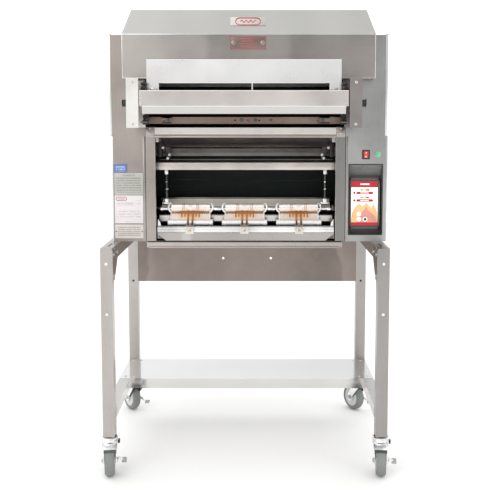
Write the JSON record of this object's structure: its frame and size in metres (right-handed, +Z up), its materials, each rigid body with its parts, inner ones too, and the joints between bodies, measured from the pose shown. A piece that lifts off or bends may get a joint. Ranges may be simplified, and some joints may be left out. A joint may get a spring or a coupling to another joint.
{
  "type": "conveyor broiler",
  "caption": "Stainless front-loading conveyor broiler on an open caster stand, with a sloped hood, loader beam, discharge opening, drip trough, touch screen and undershelf.",
  "frame": {"origin": "on the floor, under the middle of the stand", "axes": "+X to the right as seen from the front, +Y to the back, +Z up"},
  "size_m": [1.0061, 0.7398, 1.519],
  "materials": {
    "belt_mesh": "woven",
    "black_iron": "matt",
    "black_plastic": "matt",
    "bright_steel": "polished",
    "brushed_steel": "brushed",
    "dark_plastic": "satin",
    "green_lens": "gloss",
    "grey_rubber": "matt",
    "red_plastic": "gloss",
    "satin_steel": "satin",
    "scorched_steel": "scorched",
    "screen_glass": "gloss",
    "stand_steel": "brushed",
    "tinted_steel": "heat tinted",
    "zinc_plate": "bright zinc"
  },
  "bodies": {
    "frame": {"apron": "stand_steel", "baffle": "scorched_steel", "burner": "scorched_steel", "chute_panel": "satin_steel", "control_recess": "dark_plastic", "conveyor_belt": "belt_mesh", "crossmember": "scorched_steel", "drip_trough": "satin_steel", "floor_pan": "brushed_steel", "frame_post_left": "brushed_steel", "frame_post_right": "brushed_steel", "gas_inlet": "black_iron", "gusset_left": "stand_steel", "gusset_right": "stand_steel", "heat_shield": "scorched_steel", "hood": "brushed_steel", "indicator_lamp": "green_lens", "leg_front_left": "stand_steel", "leg_front_right": "stand_steel", "leg_rear_left": "stand_steel", "leg_rear_right": "stand_steel", "light_bar": "satin_steel", "loader_bracket_left": "satin_steel", "loader_bracket_right": "satin_steel", "loader_ledge": "satin_steel", "lower_cabinet_left": "brushed_steel", "lower_cabinet_right": "brushed_steel", "lower_rail_left": "stand_steel", "lower_rail_right": "stand_steel", "rear_panel": "brushed_steel", "rocker_bezel": "black_plastic", "top_rail_left": "stand_steel", "top_rail_right": "stand_steel", "touch_screen": "screen_glass", "undershelf": "satin_steel", "upper_cabinet_left": "brushed_steel", "upper_cabinet_right": "brushed_steel"},
    "swivel_front_left": {"caster_fork_front_left": "zinc_plate"},
    "wheel_front_left": {"caster_wheel_front_left": "grey_rubber"},
    "pedal_front_left": {"caster_pedal_front_left": "zinc_plate"},
    "swivel_front_right": {"caster_fork_front_right": "zinc_plate"},
    "wheel_front_right": {"caster_wheel_front_right": "grey_rubber"},
    "pedal_front_right": {"caster_pedal_front_right": "zinc_plate"},
    "swivel_rear_left": {"caster_fork_rear_left": "zinc_plate"},
    "wheel_rear_left": {"caster_wheel_rear_left": "grey_rubber"},
    "pedal_rear_left": {"caster_pedal_rear_left": "zinc_plate"},
    "swivel_rear_right": {"caster_fork_rear_right": "zinc_plate"},
    "wheel_rear_right": {"caster_wheel_rear_right": "grey_rubber"},
    "pedal_rear_right": {"caster_pedal_rear_right": "zinc_plate"},
    "pusher": {"loader_pusher": "satin_steel"},
    "knob_left": {"loader_knob_left": "black_plastic"},
    "knob_right": {"loader_knob_right": "black_plastic"},
    "rocker": {"rocker_switch": "red_plastic"},
    "flap": {"discharge_flap": "bright_steel"},
    "front_drum": {"front_roller": "bright_steel"},
    "rear_drum": {"rear_roller": "bright_steel"},
    "guide_left": {"discharge_guide_left": "tinted_steel"},
    "guide_middle": {"discharge_guide_middle": "tinted_steel"},
    "guide_right": {"discharge_guide_right": "tinted_steel"},
    "tray": {"grease_tray": "brushed_steel"}
  },
  "joints": [
    {"name": "swivel_front_left_turn", "type": "hinge", "parent": "frame", "child": "swivel_front_left", "pos_m": [-0.44595, -0.29095, 0.111], "axis": [0, 0, 1], "continuous": true},
    {"name": "wheel_front_left_roll", "type": "hinge", "parent": "swivel_front_left", "child": "wheel_front_left", "pos_m": [-0.4415, -0.32264, 0.051], "axis": [0.9903, 0.1392, 0], "continuous": true},
    {"name": "pedal_front_left_lift", "type": "hinge", "parent": "swivel_front_left", "child": "pedal_front_left", "pos_m": [-0.4415, -0.32264, 0.051], "axis": [0.9903, 0.1392, 0], "range_deg": [0, 30]},
    {"name": "swivel_front_right_turn", "type": "hinge", "parent": "frame", "child": "swivel_front_right", "pos_m": [0.44595, -0.29095, 0.111], "axis": [0, 0, 1], "continuous": true},
    {"name": "wheel_front_right_roll", "type": "hinge", "parent": "swivel_front_right", "child": "wheel_front_right", "pos_m": [0.44261, -0.32277, 0.051], "axis": [0.9945, -0.1045, 0], "continuous": true},
    {"name": "pedal_front_right_lift", "type": "hinge", "parent": "swivel_front_right", "child": "pedal_front_right", "pos_m": [0.44261, -0.32277, 0.051], "axis": [0.9945, -0.1045, 0], "range_deg": [0, 30]},
    {"name": "swivel_rear_left_turn", "type": "hinge", "parent": "frame", "child": "swivel_rear_left", "pos_m": [-0.44595, 0.29095, 0.111], "axis": [0, 0, 1], "continuous": true},
    {"name": "wheel_rear_left_roll", "type": "hinge", "parent": "swivel_rear_left", "child": "wheel_rear_left", "pos_m": [-0.4643, 0.31716, 0.051], "axis": [0.8192, 0.5736, 0], "continuous": true},
    {"name": "pedal_rear_left_lift", "type": "hinge", "parent": "swivel_rear_left", "child": "pedal_rear_left", "pos_m": [-0.4643, 0.31716, 0.051], "axis": [0.8192, 0.5736, 0], "range_deg": [-30, 0]},
    {"name": "swivel_rear_right_turn", "type": "hinge", "parent": "frame", "child": "swivel_rear_right", "pos_m": [0.44595, 0.29095, 0.111], "axis": [0, 0, 1], "continuous": true},
    {"name": "wheel_rear_right_roll", "type": "hinge", "parent": "swivel_rear_right", "child": "wheel_rear_right", "pos_m": [0.42852, 0.31779, 0.051], "axis": [0.8387, 0.5446, 0], "continuous": true},
    {"name": "pedal_rear_right_lift", "type": "hinge", "parent": "swivel_rear_right", "child": "pedal_rear_right", "pos_m": [0.42852, 0.31779, 0.051], "axis": [0.8387, 0.5446, 0], "range_deg": [-30, 0]},
    {"name": "pusher_stroke", "type": "slide", "parent": "frame", "child": "pusher", "axis": [0, 1, 0], "range_m": [0, 0.06]},
    {"name": "knob_left_turn", "type": "hinge", "parent": "frame", "child": "knob_left", "pos_m": [-0.374, -0.286, 1.21], "axis": [1, 0, 0], "continuous": true},
    {"name": "knob_right_turn", "type": "hinge", "parent": "frame", "child": "knob_right", "pos_m": [0.37, -0.286, 1.21], "axis": [1, 0, 0], "continuous": true},
    {"name": "rocker_tilt", "type": "hinge", "parent": "frame", "child": "rocker", "pos_m": [0.406, -0.139, 1.041], "axis": [1, 0, 0], "range_deg": [0, 12]},
    {"name": "flap_swing", "type": "hinge", "parent": "frame", "child": "flap", "pos_m": [0, -0.086, 1.011], "axis": [1, 0, 0], "range_deg": [0, 70]},
    {"name": "front_roller_spin", "type": "hinge", "parent": "frame", "child": "front_drum", "pos_m": [0, -0.05, 0.851], "axis": [1, 0, 0], "continuous": true},
    {"name": "rear_roller_spin", "type": "hinge", "parent": "frame", "child": "rear_drum", "pos_m": [0, 0.225, 0.851], "axis": [1, 0, 0], "continuous": true},
    {"name": "guide_left_lift", "type": "slide", "parent": "frame", "child": "guide_left", "axis": [0, 0, 1], "range_m": [0, 0.05]},
    {"name": "guide_middle_lift", "type": "slide", "parent": "frame", "child": "guide_middle", "axis": [0, 0, 1], "range_m": [0, 0.05]},
    {"name": "guide_right_lift", "type": "slide", "parent": "frame", "child": "guide_right", "axis": [0, 0, 1], "range_m": [0, 0.05]},
    {"name": "tray_draw", "type": "slide", "parent": "frame", "child": "tray", "axis": [0, -1, 0], "range_m": [0, 0.3]}
  ],
  "couplings": [
    {"joint": "rear_roller_spin", "follows": "front_roller_spin", "ratio": 1}
  ]
}
